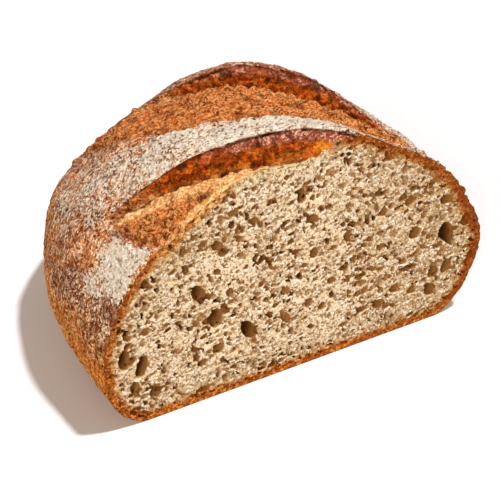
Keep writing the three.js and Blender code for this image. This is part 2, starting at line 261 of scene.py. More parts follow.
def add_slash(slash, lip, end, left_over):
    """Rows from a front lip to the end of the crest behind the ear, and what is
    left of the ear's lift there. The ear in front leaves its own lift over."""
    rim, ear = station_curve(slash, RIM), np.maximum(station_curve(slash, EAR), 0)
    reach = np.minimum(end - rim, EAR_REACH)
    opened = within(turns, *slash["opens"], *slash["closes"])
    bake_from, bake_to, bake_most = slash["bakes"]
    pale_from, pale_to, pale_most = slash["pales"]
    foot_from, foot_to, first_foot, last_foot = slash["foot"]
    foot = first_foot + (last_foot - first_foot) * ramp(foot_from, foot_to, turns)
    for place in SLASH_PLACES:
        if place == 0:
            row_limits.append(len(rows) - ROWS_BEFORE_RIM)
        if place < 0:
            depth = rim + (rim - lip) * place
            floor_place = (place + foot) * (1 - FOOT_PLACE) / (1 - foot) - FOOT_PLACE
            along = np.where(place < -foot, floor_place, place * FOOT_PLACE / foot)
        else:
            depth = rim + (end - rim) * place
            along = place * (end - rim) / reach
        swollen, sunk, lifted, leaning = (
            np.interp(along, SLASH_SECTION[:, 0], SLASH_SECTION[:, column]) for column in (1, 2, 3, 4)
        )
        inside, behind_rim = (place < 0) * opened, (place >= 0) * opened
        baked_top = ramp(*DARK_TOP_PLACES, along) * bake_most * ramp(bake_from, bake_to, turns)
        singed = slash["singed"] * (1 - ramp(0, SINGED_REACH, place * (end - rim)))
        pale_floor = pale_most * within(along, pale_from, pale_to, *FLOOR_END_PLACES)
        kept = left_over * (1 - ramp(-1.0, -0.5, place))
        add_row(
            depth,
            out=ear * lifted + kept + opened * (slash["swell"] * swollen - slash["sunk"] * sunk),
            forward=slash["overhang"] * leaning * ear / EAR_HEIGHT,
            dough=inside * ramp(*TORN_PLACES, place),
            wall=inside * ramp(*WALL_PLACES, along) * ramp(*WALL_HEIGHTS, ear),
            baked=inside * baked_top + behind_rim * singed,
            # painted shade: dark in the crevice at the wall's foot and in a thin line under the rim
            crevice=opened * (mound(along, -0.165, 0.03) + 0.85 * mound(along, -0.01, 0.012)),
            pale=inside * (pale_floor + within(along, *STRETCHED_PLACES)),
            rim=opened * within(place, *RIM_PLACES),
        )
    return ear * np.interp((end - rim) / reach, SLASH_SECTION[:, 0], SLASH_SECTION[:, EAR])


lip = np.maximum(station_curve(SLASHES[0], LIP) + ragged_line(31), FOREMOST_LIP)
start = np.minimum(-1.0, lip - 0.5)
for step in range(STOCK_ROWS):
    add_row(start + (lip - start) * step / STOCK_ROWS)
first_crest = station_curve(SLASHES[1], LIP) + ragged_line(41)
last_crest = LAST_CREST + 10 * (1 - ramp(-0.6, -0.2, turns))
left_over = add_slash(SLASHES[0], lip, first_crest, 0.0)
row_limits.append(len(rows))
left_over = add_slash(SLASHES[1], np.maximum(first_crest, FOREMOST_LIP), last_crest, left_over)
row_limits.append(len(rows) - CREST_ROWS // 2)
for step in range(END_ROWS + 1):
    round_end = math.sin(math.pi / 2 * step / END_ROWS)
    add_row(last_crest + (DEPTH - last_crest) * round_end, out=left_over * (1 - step / END_ROWS))
row_limits.append(len(rows) - 1)
depth, out, forward, dough, wall, baked, crevice, pale, rim_edge = np.moveaxis(np.array(rows), 1, 0)

# The smooth crust: the dome with its slashes, ears and uneven flanks. It lifts
# away from a core that runs along the loaf's axis, and settles to the floor.
plain = dome(angles, depth)
plain_y, plain_z = plain[..., 1], plain[..., 2]
core = np.stack([0.7 * AXIS_LEAN * plain_y, 0.75 * plain_y, np.minimum(plain_z / 2, CORE_HEIGHT)], axis=-1)
outwards = unit(plain - core)
ahead = np.array([0.0, -1.0, 0.0])
ahead = ahead - outwards * (outwards @ ahead)[..., None]
settled = ramp(0, 12, plain_z)
swell = SWELL * slow_wave(plain) * ramp(0, 10, DEPTH - plain_y)
shoulder = SHOULDER * mound(turns, SHOULDER_TURN, SHOULDER_SPAN)
shoulder = shoulder * (1 - 0.45 * ramp(0, 9, plain_y)) * (1 - ramp(26, 60, plain_y))
hollow = LEFT_HOLLOW * mound(turns, -0.8, 0.2) * within(depth, 60, 80, 100, 116)
fuller = LEFT_FULLNESS * mound(turns, -1.05, 0.28) * within(depth, 15, 40, 80, 105)
smooth = plain + outwards * ((out + swell + shoulder + fuller - hollow) * settled)[..., None]
drawn_under = np.sin(math.pi * np.maximum(angles - math.pi, 0) / UNDERSIDE)
smooth[..., 0] -= RIGHT_DRAWN_UNDER * drawn_under * (1 - ramp(20, 60, plain_y))
smooth = smooth + ahead * (forward * settled)[..., None]
y, z = smooth[..., 1], smooth[..., 2]
normals = unit(np.cross(np.gradient(smooth, axis=1), np.gradient(smooth, axis=0)))
normals[-3:] = outwards[-3:]

# Heights of the fine relief, in millimetres: skin is pebbled, and torn dough is
# craggy and pitted, most of all on the wall of an ear. Each noise is given its
# cell, in millimetres, and its seed.
SKIN_COARSE, SKIN_GRAIN, SKIN_WRINKLE = 0.35, 0.4, 0.35
DOUGH_COARSE, DOUGH_GRAIN, DOUGH_CLOTS, DOUGH_PITS, DOUGH_SUNK = 0.6, 0.55, 1.5, 0.9, 0.3
WALL_CLOTS, WALL_PITS = 1.4, 1.1
HOLE_DEPTH = 2.6
coarse = 0.6 * cell_noise(smooth, 6.0, 1) + 0.4 * cell_noise(smooth, 2.8, 2)
grain = 0.6 * cell_noise(smooth, 1.5, 3) + 0.5 * cell_noise(smooth, 0.85, 4)
clots = np.abs(cell_noise(smooth, 3.6, 21)) + 0.6 * np.abs(cell_noise(smooth, 1.8, 22)) - 0.45
pits = ramp(0.25, 0.7, cell_noise(smooth * (1, 1.3, 1), 3.4, 5))
holes = ramp(0.1, 0.5, cell_noise(smooth, 4.2, 24)) * crevice
wrinkle = ramp(0.9, 1.0, 1 - np.abs(cell_noise(smooth, 4.5, 6)))
skin_relief = SKIN_COARSE * coarse + SKIN_GRAIN * grain - SKIN_WRINKLE * wrinkle
dough_relief = DOUGH_COARSE * coarse + DOUGH_GRAIN * grain - DOUGH_SUNK
dough_relief += (DOUGH_CLOTS + WALL_CLOTS * wall) * clots
dough_relief -= (DOUGH_PITS * (1 - wall) + WALL_PITS * wall) * pits
dough_relief *= 0.35 + 0.65 * ramp(0, 4, y)
side_crags = within(turns, 0.6, 0.85, 1.25, 1.45) * (1 - ramp(10, 50, depth)) * (1 - dough)
relief = skin_relief + (dough_relief - skin_relief) * dough - HOLE_DEPTH * holes
relief += side_crags * (1.2 * clots + 0.4 * coarse)
relief += rim_edge * (0.7 * cell_noise(smooth, 5.0, 7) + 0.5 * cell_noise(smooth, 2.0, 27))
shell = smooth + normals * (relief * ramp(0, 4, z))[..., None]


def held_under(values, limit, ease):
    """Values that bend away from a limit over the last stretch before it."""
    over = np.maximum(values - limit + ease, 0)
    return np.where(over > 0, limit - ease + ease * np.tanh(over / ease), values)


# Nothing stands out of the solid loaf's box.
box_low, box_high = np.array(solid_box) / MM
kept_x = shell[..., 0][shell[..., 1] > 0]
middle = (kept_x.min() + kept_x.max()) / 2
half_width = (box_high[0] - box_low[0]) / 2
shell[..., 0] = middle + held_under(shell[..., 0] - middle, half_width, 0.6)
shell[..., 0] = middle - held_under(middle - shell[..., 0], half_width, 0.6)
shell[..., 1] = held_under(shell[..., 1], box_high[1] - box_low[1], 1.0)
shell[..., 2] = np.clip(held_under(shell[..., 2], box_high[2], 2.5), 0, None)

# Dustings of flour: turn and depth of the middle, their reach in both, amount.
DUSTINGS = [
    (0.05, 15.0, 0.60, 15.0, 0.85), (-0.45, 30.0, 0.24, 14.0, 0.76), (-0.70, 39.0, 0.18, 16.0, 0.57),
    (-0.85, 46.0, 0.20, 16.0, 0.50), (-0.95, 62.0, 0.20, 18.0, 0.42), (-1.03, 10.0, 0.15, 12.0, 0.95),
    (-0.90, 7.0, 0.08, 8.0, 0.85), (-1.20, 17.0, 0.06, 7.0, 0.80), (0.62, 12.0, 0.30, 12.0, 0.60),
    (0.80, 30.0, 0.35, 24.0, 0.60), (-0.86, 30.0, 0.07, 8.0, 0.40), (0.30, 108.0, 0.60, 12.0, 0.30),
]
THIN_DUST = 0.08                     # everywhere but on the left of the last ear
patchy = 0.6 * cell_noise(smooth, 14.0, 8) + 0.5 * cell_noise(smooth, 6.0, 9)
dusted = THIN_DUST - 0.3 * within(depth, 72, 86, 96, 106) * (1 - ramp(0.0, 0.3, turns))
for turn_at, depth_at, turn_reach, depth_reach, amount in DUSTINGS:
    away = np.hypot((turns - turn_at) / turn_reach, (depth - depth_at) / depth_reach)
    dusted = np.maximum(dusted, amount * (1 - ramp(0.55, 1.45, away + 0.25 * patchy)))
low_down = 1 - ramp(20, 45, z)
baked = np.clip(baked + 2.6 * (clots - 0.1) * baked * (1 - baked), 0, 1)
by_rim = (1 - ramp(0.4, 2.0, y + 1.2 * patchy)) * (1 - ramp(-0.8, -0.7, turns))
flour = np.clip(dusted + 0.16 * patchy - 0.1 * low_down, 0, 1)
flour = flour * (1 - dough) * (1 - 0.8 * by_rim) * (1 - 0.9 * baked)

# The painted shade of a crevice is broken here and there, and every deep pit gets the same painted shade.
crevice = crevice * ramp(-0.9, -0.1, cell_noise(smooth, 5.0, 29))
crevice = np.maximum(crevice, dough * ramp(0.35, 0.8, pits) * (0.7 - 0.05 * wall) * (1 - 0.95 * pale))
at_cut = dough * (1 - ramp(0.5, 2.4, y)) * (1 - ramp(0.15, 0.4, turns))
at_cut = at_cut * ramp(-0.3, 0.2, cell_noise(smooth, 3.6, 28))
ochre = ramp(-0.3, 0.25, cell_noise(smooth, 3.0, 30))
pale = pale * (1 - wall * (1 - ochre)) * (0.8 + 0.8 * patchy + 0.5 * coarse)
pale = np.clip(np.maximum(pale, at_cut), 0, 1)

# The arch closes over a flat underside: columns across the floor, without marks.
across_floor = np.linspace(0, 1, FLOOR_STEPS + 1)[1:-1]
right, left = shell[:, -1:], shell[:, :1]
underside = right + (left - right) * across_floor[None, :, None]
underside[..., 2] = 0.35 * np.maximum(cell_noise(underside, 5.0, 12), 0) * ramp(10, 20, underside[..., 1])
loop = np.concatenate([shell, underside], axis=1)
marks = {"dough": dough, "wall": wall, "baked": baked, "crevice": crevice, "flour": flour, "pale": pale}
marks = {name: np.pad(values, ((0, 0), (0, len(across_floor)))) for name, values in marks.items()}

# The knife took off everything in front of the cut: points before it move to
# where their column crosses it, and share that one point.
row_count, column_count = loop.shape[:2]
behind = loop[..., 1] > 0
owner = np.arange(row_count * column_count).reshape(row_count, column_count)
crossing = loop.copy()
for row in range(row_count - 2, -1, -1):
    fresh = ~behind[row] & behind[row + 1]
    carried = ~behind[row] & ~behind[row + 1]
    share = loop[row + 1, :, 1] / np.maximum(loop[row + 1, :, 1] - loop[row, :, 1], 1e-6)
    met = loop[row + 1] + (loop[row] - loop[row + 1]) * share[:, None]
    crossing[row][fresh] = met[fresh]
    crossing[row][carried] = crossing[row + 1][carried]
    owner[row][carried] = owner[row + 1][carried]
crossing[..., 1] = np.maximum(crossing[..., 1], 0)

# The frame has the loaf's footprint centred and its cut at the box's front.
SHIFT = np.array([middle - (box_low[0] + box_high[0]) / 2, -box_low[1], 0.0])


def to_frame(points):
    return (points - SHIFT) * MM


def grid_quads(index):
    """Corners of the faces between rows of point numbers, closed round each row."""
    beside = np.roll(index, -1, axis=1)
    return np.stack([index[:-1], beside[:-1], beside[1:], index[1:]], axis=-1)


def face_corners(quads):
    """Corners of quads, without the repeated ones where a quad is a triangle."""
    kept = quads != np.roll(quads, 1, axis=1)
    kept &= ~((quads == np.roll(quads, 2, axis=1)) & (np.arange(4) > 1))
    whole = kept.sum(axis=1) > 2
    return quads[whole][kept[whole]], kept[whole].sum(axis=1)


def crossed_diagonals(points, quads):
    a, b, c, d = (points[quads[:, i]] for i in range(4))
    return np.cross(c - a, d - b)


def shared_normals(points, quads):
    face = crossed_diagonals(points, quads)
    total = np.zeros_like(points)
    for i in range(4):
        np.add.at(total, quads[:, i], face)
    return unit(total)


def add_object(name, data):
    made = bpy.data.objects.new(name, data)
    bpy.context.scene.collection.objects.link(made)
    return made


def add_piece(name, corners, lengths, points, values, point_normals, material):
    """A piece of the given face corners, with named point values and shared normals."""
    used, index = np.unique(corners, return_inverse=True)
    mesh = bpy.data.meshes.new(name)
    mesh.vertices.add(len(used))
    mesh.vertices.foreach_set("co", points[used].astype(np.float32).ravel())
    mesh.loops.add(len(index))
    mesh.loops.foreach_set("vertex_index", index.astype(np.int32))
    mesh.polygons.add(len(lengths))
    starts = np.concatenate([[0], np.cumsum(lengths)[:-1]])
    mesh.polygons.foreach_set("loop_start", starts.astype(np.int32))
    mesh.update(calc_edges=True)
    for key, value in values.items():
        attribute = mesh.attributes.new(key, "FLOAT", "POINT")
        attribute.data.foreach_set("value", value.ravel()[used].astype(np.float32))
    mesh.shade_smooth()
    mesh.normals_split_custom_set_from_vertices(point_normals[used])
    mesh.materials.append(material)
    return add_object(name, mesh)


# Helpers for materials and for the crumb's tree. They add their nodes to the
# tree in hand, and patterns read the place in hand.
def feed(made, inputs):
    """Sets a node's inputs, each to a value or from a socket."""
    for key, value in inputs.items():
        if isinstance(value, bpy.types.NodeSocket):
            tree.links.new(value, made.inputs[key])
        else:
            made.inputs[key].default_value = value


def node(kind, inputs=None, **settings):
    made = tree.nodes.new(kind)
    for key, value in settings.items():
        setattr(made, key, value)
    feed(made, inputs or {})
    return made


def maths(operation, a, b=0.0, c=0.0):
    return node("ShaderNodeMath", {0: a, 1: b, 2: c}, operation=operation).outputs[0]


def plus(a, b):
    return maths("ADD", a, b)


def minus(a, b):
    return maths("SUBTRACT", a, b)


def times(a, b):
    return maths("MULTIPLY", a, b)


def most(a, b):
    return maths("MAXIMUM", a, b)


def spread(value, low, high, to_low=0.0, to_high=1.0):
    """A smooth step of a value from one range to another."""
    return node("ShaderNodeMapRange", {
        "Value": value, "From Min": low, "From Max": high, "To Min": to_low, "To Max": to_high,
    }, interpolation_type="SMOOTHSTEP").outputs["Result"]


def vector_maths(operation, a, b=(0.0, 0.0, 0.0), output="Vector"):
    return node("ShaderNodeVectorMath", {0: a, 1: b}, operation=operation).outputs[output]


def scaled(vector, scale):
    return node("ShaderNodeVectorMath", {0: vector, "Scale": scale}, operation="SCALE").outputs["Vector"]


def parts_of(vector):
    return node("ShaderNodeSeparateXYZ", {0: vector}).outputs


def noise(scale, detail=3.0, roughness=0.6, vector=None):
    inputs = {"Vector": vector or place, "Scale": scale, "Detail": detail, "Roughness": roughness}
    return node("ShaderNodeTexNoise", inputs).outputs["Fac"]


def wander(scale, detail, amount):
    """A vector that drifts from place to place by up to half the amount each way."""
    drift = node("ShaderNodeTexNoise", {"Vector": place, "Scale": scale, "Detail": detail}).outputs["Color"]
    return scaled(vector_maths("SUBTRACT", drift, (0.5, 0.5, 0.5)), amount)


def blend(factor, a, b):
    """A colour between two, each given as a colour or as a socket."""
    a, b = ((*colour, 1.0) if isinstance(colour, tuple) else colour for colour in (a, b))
    return node("ShaderNodeMix", {"Factor": factor, "A": a, "B": b}, data_type="RGBA").outputs["Result"]


def mark(name):
    return node("ShaderNodeAttribute", attribute_name=name).outputs["Fac"]


def bumps(height, strength, distance):
    return node("ShaderNodeBump", {
        "Height": height, "Strength": strength, "Distance": distance,
    }).outputs["Normal"]


# Fine speckle, shared with the crumb: every grain has its own random value, and
# the given shares of them are light or dark.
speckle = tree = bpy.data.node_groups.new("fine speckle", "ShaderNodeTree")
for name in ("Scale", "Light Share", "Dark Share"):
    speckle.interface.new_socket(name=name, in_out="INPUT", socket_type="NodeSocketFloat")
for name in ("Light", "Dark", "Value"):
    speckle.interface.new_socket(name=name, in_out="OUTPUT", socket_type="NodeSocketFloat")
place = node("ShaderNodeTexCoord").outputs["Object"]
share_in = node("NodeGroupInput").outputs
uneven = wander(share_in["Scale"], 1.0, maths("DIVIDE", 2.4, share_in["Scale"]))
uneven = vector_maths("ADD", vector_maths("MULTIPLY", place, (0.95, 1.1, 0.95)), uneven)
grains = node("ShaderNodeTexVoronoi", {"Vector": uneven, "Scale": share_in["Scale"]})
drawn = node("ShaderNodeSeparateColor", {0: grains.outputs["Color"]}).outputs
light_over = minus(drawn[0], minus(1.0, share_in["Light Share"]))
dark_under = minus(share_in["Dark Share"], drawn[1])
node("NodeGroupOutput", {
    "Light": spread(light_over, -0.03, 0.05), "Dark": spread(dark_under, -0.03, 0.05), "Value": drawn[2],
})


def speckled(scale, light_share, dark_share):
    inputs = {"Scale": scale, "Light Share": light_share, "Dark Share": dark_share}
    return node("ShaderNodeGroup", inputs, node_tree=speckle).outputs


# Colours of the skin, the flour on it, the torn dough and the ears, and the painted shade in crevices.
DARK_SKIN = (0.23, 0.050, 0.008)
RED_SKIN = (0.66, 0.195, 0.028)
LOW_SKIN = (0.78, 0.190, 0.012)
LIGHT_GRAIN = (1.0, 0.76, 0.52)
LOW_GRAIN = (1.0, 0.48, 0.12)
DARK_GRAIN = (0.11, 0.018, 0.001)
FLOUR = (0.72, 0.63, 0.485)
FLOUR_TIP = (1.0, 0.94, 0.80)
FLOUR_SHADE = (0.33, 0.235, 0.155)
TORN = (0.30, 0.053, 0.005)
TORN_HIGH = (0.50, 0.115, 0.016)
TORN_DARK = (0.15, 0.026, 0.002)
TORN_PALE = (0.80, 0.37, 0.095)
TORN_TIP = (0.95, 0.45, 0.16)
PALE_TIP = (1.0, 0.70, 0.36)
EAR_WALL = (0.49, 0.056, 0.002)
WALL_TIP = (1.0, 0.34, 0.04)
WALL_PALE = (0.58, 0.165, 0.006)
EAR_TOP = (0.31, 0.076, 0.040)
EAR_TIP = (0.96, 0.50, 0.33)
RIM_TIP = (0.60, 0.34, 0.23)
CREVICE_SHADE = (0.06, 0.012, 0.002)

crust_material = bpy.data.materials.new("baked crust")
crust_material.use_nodes = True
tree = crust_material.node_tree
place = node("ShaderNodeTexCoord").outputs["Object"]
height = parts_of(place)["Z"]
on = {name: mark(name) for name in marks}
fine_grain, wide_grain = speckled(1400.0, 0.33, 0.33), speckled(800.0, 0.12, 0.16)
dough_grain = speckled(1500.0, 0.40, 0.22)
light_grain = most(fine_grain["Light"], times(wide_grain["Light"], 0.6))
dark_grain = most(fine_grain["Dark"], times(wide_grain["Dark"], 0.7))
light_crumbs = most(dough_grain["Light"], times(wide_grain["Light"], 0.5))
dark_crumbs = most(dough_grain["Dark"], times(wide_grain["Dark"], 0.45))

# Skin: red-brown, streaked down the flanks and more orange lower down.
skin = blend(spread(noise(70, 5, 0.65), 0.42, 0.58), DARK_SKIN, RED_SKIN)
streaks = noise(300, vector=vector_maths("MULTIPLY", place, (1.0, 1.0, 0.4)))
skin = blend(spread(streaks, 0.50, 0.64, 0.0, 0.75), skin, DARK_SKIN)
skin = blend(spread(height, 0.045, 0.015, 0.0, 0.6), skin, LOW_SKIN)
skin = blend(times(dark_grain, 0.95), skin, DARK_GRAIN)
patches = times(spread(noise(110), 0.36, 0.56, 0.45, 1.0), spread(streaks, 0.60, 0.42, 0.4, 1.0))
skin = blend(times(light_grain, patches), skin, blend(spread(height, 0.055, 0.025), LIGHT_GRAIN, LOW_GRAIN))
skin = blend(times(on["baked"], 0.8), skin, blend(light_grain, EAR_TOP, RIM_TIP))

# Torn dough: paler where it stretched, fox-red on the wall and dark on its top.
torn = blend(spread(height, 0.072, 0.086), TORN, TORN_HIGH)
torn = blend(spread(noise(230, 4), 0.36, 0.56), TORN_DARK, torn)
torn = blend(on["wall"], torn, blend(spread(noise(300, 4), 0.42, 0.55), TORN_DARK, EAR_WALL))
torn = blend(on["pale"], torn, blend(on["wall"], TORN_PALE, WALL_PALE))
torn = blend(times(dark_crumbs, spread(on["pale"], 0.0, 1.0, 0.8, 0.45)), torn, TORN_DARK)
tip = blend(on["wall"], blend(on["pale"], TORN_TIP, PALE_TIP), WALL_TIP)
tipped = spread(minus(on["wall"], on["pale"]), -1.0, 1.0, 0.95, 0.34)
torn = blend(times(light_crumbs, tipped), torn, tip)
torn = blend(on["baked"], torn, blend(light_grain, EAR_TOP, EAR_TIP))
# Painted shade, near black, in the crevices, the deep pits and under the rims.
torn = blend(times(on["crevice"], 0.85), torn, CREVICE_SHADE)

# Flour: thick where the mark is high, and else in grains between bare spots.
blotches = times(minus(noise(90, 4), 0.5), 1.5)
cover = plus(on["flour"], times(minus(noise(300, 4), 0.5), 0.9))
cover = plus(cover, times(blotches, minus(1.0, on["flour"])))
cover = minus(cover, times(dark_grain, 0.22))
scatter = plus(times(fine_grain["Value"], 0.65), times(wide_grain["Value"], 0.35))
floured = times(spread(minus(cover, scatter), -0.02, 0.07), minus(0.9, on["dough"]))
drawn_across = noise(1100, 2, 0.6, vector_maths("MULTIPLY", place, (0.3, 1.0, 1.0)))
shaded = most(times(wide_grain["Dark"], 0.7), spread(drawn_across, 0.56, 0.64))
powder = blend(times(shaded, 0.8), FLOUR, FLOUR_SHADE)
powder = blend(times(light_grain, 0.7), powder, FLOUR_TIP)

pebbles = plus(noise(1000), times(light_grain, 0.35))
feed(tree.nodes["Principled BSDF"], {
    "Base Color": blend(floured, blend(on["dough"], skin, torn), powder),
    "Roughness": spread(on["baked"], 0.0, 1.0, 0.85, 0.42),
    "Specular IOR Level": 0.06,
    "Normal": bumps(minus(pebbles, times(dark_grain, 0.25)), 1.0, 0.0008),
})

# One piece from the cut to the first ear, one to the second slash, and so on.
quads = grid_quads(owner)
beside_cut = behind | np.roll(behind, -1, axis=1)
visible = beside_cut[:-1] | beside_cut[1:]
crust_points = to_frame(crossing.reshape(-1, 3))
crust_normals = shared_normals(crust_points, quads[visible])
names = ["crust_front", "crust_first_ear", "crust_second_slash", "crust_second_ear", "crust_back"]
for name, low, high in zip(names, row_limits[:-1], row_limits[1:]):
    corners, lengths = face_corners(quads[low:high][visible[low:high]])
    piece = add_piece(name, corners, lengths, crust_points, marks, crust_normals, crust_material)
    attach(piece, "root")
    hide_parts("loaf")


# ----------------------------------
# Crumb: the cut face, an open foam of baked rye dough. Geometry Nodes carve it
# out of a slab just behind the knife cut and inside the crust: pores of three
# sizes by rule, and the largest ones each in its own place.
# ----------------------------------

CRUMB_VOXEL = 0.36
CRUMB_DEPTH = 8.5
LEAST_SCRAP = 4000                   # points: a smaller loose island is dropped
LEAST_AREA = 1e-10                   # thinner faces of the crust are left out here
TILES = 6

# Inputs of the crumb's tree, in millimetres: how deep the slab is, where the cut
# is, and the cells of its fine, middle and wide pores.
CRUMB_SIZES = {
    "Depth": CRUMB_DEPTH, "Cut": solid_box[0][1] / MM,
    "Fine Pore": 1.9, "Middle Pore": 3.1, "Wide Pore": 6.5,
}

# The largest pores: across, up, width, height and tilt in degrees.
LARGE_PORES = np.array([
    (66, 38, 7.3, 14.5, -8), (75, 43, 4.9, 6.5, 0), (65, 56, 5.7, 4.6, 0), (36, 60, 4.6, 3.8, 0),
    (35, 69, 5.9, 2.3, 0), (48, 61, 4.7, 4.3, 0), (51, 45, 5.2, 5.9, 0), (63, 35, 3.4, 3.5, 0),
    (35, 51, 4.1, 1.9, 0), (12, 71, 3.5, 2.8, 20), (5, 68, 5.7, 4.1, 25), (0, 80, 3.9, 7.6, 0),
    (6, 52, 4.0, 5.2, 0), (36, 44, 4.6, 2.9, 0), (49, 29, 8.1, 3.0, 0), (61, 22, 5.4, 5.6, 0),
    (60, 14, 5.4, 6.7, -20), (67, 23, 4.9, 7.2, 10), (43, 21, 4.8, 4.6, 0), (51, 17, 3.9, 4.1, 0),
    (27, 33, 5.6, 3.0, 0), (14, 36, 4.1, 3.4, 0), (36, 16, 5.7, 4.6, 0), (4, 29, 3.6, 4.4, 0),
    (10, 25, 3.6, 4.0, 0), (-43, 51, 5.4, 8.3, -20), (-36, 37, 5.9, 9.5, -5), (-35, 22, 5.1, 4.9, 0),
    (-22, 26, 5.6, 10.7, -30), (-74, 32, 4.8, 9.8, 0), (-67, 26, 4.9, 11.4, 15), (-70, 17, 3.9, 6.7, 0),
    (-62, 12, 4.9, 5.6, 0), (-42, 5, 6.4, 2.6, 0), (-35, 70, 5.7, 3.6, 30), (-20, 76, 5.0, 3.1, 20),
    (-49, 72, 2.4, 4.4, 0), (-48, 64, 2.8, 5.4, -10), (-42, 18, 4.7, 3.4, 0), (-58, 21, 2.9, 2.9, 0),
    (-73, 43, 2.4, 5.5, 0), (-30, 47, 3.2, 4.6, -15), (78, 24, 2.2, 8.0, 18), (20, 12, 5.0, 2.2, 5),
])

# The crust near the cut tells how far inside the loaf a point is; loose points
# carry the sizes of the large pores.
close_rows = (crossing[..., 1] < CRUMB_DEPTH + 8).any(axis=1) & behind.any(axis=1)
near = to_frame(crossing[close_rows])
near_quads = grid_quads(np.arange(near.shape[0] * near.shape[1]).reshape(near.shape[:2])).reshape(-1, 4)
near = near.reshape(-1, 3)
near_quads = near_quads[np.linalg.norm(crossed_diagonals(near, near_quads), axis=1) > LEAST_AREA]
pore_across, pore_up = LARGE_PORES[:, 0], LARGE_PORES[:, 1]
pore_centres = to_frame(np.stack([pore_across, np.full(len(LARGE_PORES), 0.3), pore_up], axis=-1))
guide_mesh = bpy.data.meshes.new("crumb guide")
guide_mesh.from_pydata(np.concatenate([near, pore_centres]).tolist(), [], near_quads.tolist())
for column, key in ((2, "pore_width"), (3, "pore_height"), (4, "pore_tilt")):
    attribute = guide_mesh.attributes.new(key, "FLOAT", "POINT")
    attribute.data.foreach_set("value", np.concatenate([np.zeros(len(near)), LARGE_PORES[:, column]]))
crumb_guide = add_object("crumb_guide", guide_mesh)

foam = tree = bpy.data.node_groups.new("bread crumb", "GeometryNodeTree")
foam.interface.new_socket(name="Geometry", in_out="INPUT", socket_type="NodeSocketGeometry")
size_sockets = {}
for name, value in CRUMB_SIZES.items():
    size_sockets[name] = foam.interface.new_socket(name=name, in_out="INPUT", socket_type="NodeSocketFloat")
    size_sockets[name].default_value = value
material_socket = foam.interface.new_socket(name="Material", in_out="INPUT", socket_type="NodeSocketMaterial")
foam.interface.new_socket(name="Geometry", in_out="OUTPUT", socket_type="NodeSocketGeometry")
given = node("NodeGroupInput").outputs
guide = given["Geometry"]
metres = node("GeometryNodeInputPosition").outputs[0]
place = scaled(metres, 1000.0)
across, backwards, up = parts_of(place)
deep = minus(backwards, given["Cut"])

# Distance in under the crust, in millimetres, and below zero outside it.
nearest = node("GeometryNodeProximity", {0: guide, "Sample Position": metres}, target_element="FACES")
core_point = node("ShaderNodeCombineXYZ", {0: 0.0, 1: times(backwards, 0.001), 2: 0.03}).outputs[0]
towards_core = vector_maths("SUBTRACT", core_point, metres)
ray = node("GeometryNodeRaycast", {
    "Target Geometry": guide, "Source Position": metres, "Ray Direction": towards_core,
    "Ray Length": vector_maths("LENGTH", towards_core, output="Value"),
}).outputs
leaving = vector_maths("DOT_PRODUCT", ray["Hit Normal"], towards_core, output="Value")
entering = times(ray["Is Hit"], maths("LESS_THAN", leaving, 0.0))
under_crust = times(times(nearest.outputs["Distance"], 1000.0), minus(1.0, times(entering, 2.0)))

# Pores lie in a warped copy of the slab, squeezed flatter near the base.
ragged = wander(0.75, 1.5, 0.6)
warped = vector_maths("ADD", vector_maths("ADD", place, wander(0.16, 1.5, 5.0)), ragged)
warped_x, warped_y, warped_z = parts_of(warped)
squeeze = times(maths("EXPONENT", times(warped_z, -0.12)), -8.0)
squeezed = node("ShaderNodeCombineXYZ", {
    0: warped_x, 1: warped_y, 2: plus(times(warped_z, 1.12), squeeze),
}).outputs[0]


def pore_layer(cell, smallest, largest, share, shift, closes):
    """Signed distance to round pores. Their radii are in cells, a share of the
    cells has one, and they close towards a depth. Each layer has its own shift."""
    cells = node("ShaderNodeTexVoronoi", {
        "Vector": vector_maths("ADD", squeezed, shift), "Scale": maths("DIVIDE", 1.0, cell),
    }).outputs
    draw = parts_of(cells["Color"])
    radius = spread(draw["X"], 0.0, 1.0, smallest, largest)
    absent = maths("GREATER_THAN", draw["Y"], share)
    gap = plus(minus(cells["Distance"], radius), absent)
    return plus(times(gap, cell), spread(deep, closes * 0.4, closes, 0.0, 1.4))


fine_pores = pore_layer(given["Fine Pore"], 0.26, 0.48, 0.66, (3.0, 5.0, 7.0), 2.6)
middle_pores = pore_layer(given["Middle Pore"], 0.26, 0.49, 0.90, (31.0, 17.0, 11.0), 5.6)
wide_pores = pore_layer(given["Wide Pore"], 0.16, 0.34, 0.65, (57.0, 23.0, 41.0), 7.0)


def guide_value(name):
    return node("GeometryNodeInputNamedAttribute", {"Name": name}, data_type="FLOAT").outputs[0]


# Named pores: an ellipsoid round the nearest of the loose points.
pore_points = node("GeometryNodeSeparateGeometry", {
    "Geometry": guide, "Selection": maths("GREATER_THAN", guide_value("pore_width"), 0.0),
}, domain="POINT").outputs["Selection"]
nearest_pore = node("GeometryNodeSampleNearest", {
    "Geometry": pore_points, "Sample Position": metres,
}, domain="POINT").outputs["Index"]


def of_nearest_pore(value, kind="FLOAT"):
    inputs = {"Geometry": pore_points, "Value": value, "Index": nearest_pore}
    return node("GeometryNodeSampleIndex", inputs, data_type=kind, domain="POINT").outputs[0]


centre = of_nearest_pore(metres, "FLOAT_VECTOR")
offset = vector_maths("ADD", scaled(vector_maths("SUBTRACT", metres, centre), 1000.0), ragged)
upright = node("ShaderNodeVectorRotate", {
    "Vector": offset, "Axis": (0.0, 1.0, 0.0),
    "Angle": maths("RADIANS", times(of_nearest_pore(guide_value("pore_tilt")), -1.0)),
}, rotation_type="AXIS_ANGLE").outputs[0]
half_across = times(of_nearest_pore(guide_value("pore_width")), 0.5)
half_up = times(of_nearest_pore(guide_value("pore_height")), 0.5)
half_sizes = node("ShaderNodeCombineXYZ", {
    0: half_across, 1: times(plus(half_across, half_up), 0.75), 2: half_up,
}).outputs[0]
from_middle = vector_maths("LENGTH", vector_maths("DIVIDE", upright, half_sizes), output="Value")
named_pores = times(minus(from_middle, 1.0), maths("MINIMUM", half_across, half_up))

